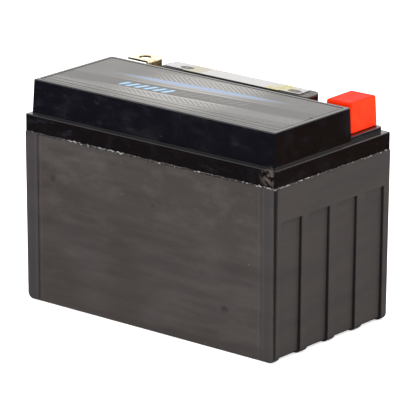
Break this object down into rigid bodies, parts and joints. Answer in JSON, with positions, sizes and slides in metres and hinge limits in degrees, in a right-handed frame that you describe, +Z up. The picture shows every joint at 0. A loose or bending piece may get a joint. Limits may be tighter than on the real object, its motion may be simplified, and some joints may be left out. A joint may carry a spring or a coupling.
{
  "type": "motorcycle battery",
  "caption": "Sealed twelve-volt motorcycle battery: ribbed case, welded raised lid, bracket terminals in the rear corners, one under a red cover, and a plug strip between them.",
  "frame": {"origin": "middle of the bottom face", "axes": "+X along the length, from the negative terminal's end to the positive one's; +Y towards the side with the terminals; +Z up"},
  "size_m": [0.15, 0.086, 0.1079],
  "materials": {
    "case_plastic": "satin moulded polypropylene, scuffed",
    "lid_plastic": "glossy black moulding",
    "strip_plastic": "satin black moulding",
    "top_label_film": "satin printed film, grey with a blue streak",
    "strip_label_film": "coated white paper with plain colour patches",
    "cap_plastic": "satin orange-red moulding",
    "terminal_brass": "bright, bent sheet",
    "lead": "dull cast lead",
    "positive_plate_paste": "dark brown pasted lead grid",
    "negative_plate_paste": "grey pasted lead grid",
    "glass_mat": "white glass fibre mat",
    "rubber": "matt",
    "seal_resin": "poured resin",
    "porous_plastic": "porous disc"
  },
  "bodies": {
    "battery": {"case": "case_plastic", "lid": "lid_plastic", "top_label": "top_label_film", "negative_terminal": "terminal_brass", "positive_terminal": "terminal_brass", "negative_post": "lead", "positive_post": "lead", "negative_post_seal": "seal_resin", "positive_post_seal": "seal_resin", "negative_plates_1": "negative_plate_paste", "negative_plates_2": "negative_plate_paste", "negative_plates_3": "negative_plate_paste", "negative_plates_4": "negative_plate_paste", "negative_plates_5": "negative_plate_paste", "negative_plates_6": "negative_plate_paste", "positive_plates_1": "positive_plate_paste", "positive_plates_2": "positive_plate_paste", "positive_plates_3": "positive_plate_paste", "positive_plates_4": "positive_plate_paste", "positive_plates_5": "positive_plate_paste", "positive_plates_6": "positive_plate_paste", "separator_1": "glass_mat", "separator_2": "glass_mat", "separator_3": "glass_mat", "separator_4": "glass_mat", "separator_5": "glass_mat", "separator_6": "glass_mat", "intercell_weld_1": "lead", "intercell_weld_2": "lead", "intercell_weld_3": "lead", "intercell_weld_4": "lead", "intercell_weld_5": "lead", "flame_arrestor": "porous_plastic"},
    "cover": {"terminal_cap": "cap_plastic"},
    "filler_strip": {"plug_strip": "strip_plastic", "strip_label": "strip_label_film"},
    "valve": {"safety_valve": "rubber"}
  },
  "joints": [
    {"name": "cover_lift", "type": "slide", "parent": "battery", "child": "cover", "axis": [0, 0, 1], "range_m": [0, 0.02]},
    {"name": "strip_lift", "type": "slide", "parent": "battery", "child": "filler_strip", "axis": [0, 0, 1], "range_m": [0, 0.012]},
    {"name": "valve_lift", "type": "slide", "parent": "battery", "child": "valve", "axis": [0, 0, 1], "range_m": [0, 0.0008], "stiffness_N_per_m": 50, "springref_m": -0.002}
  ]
}
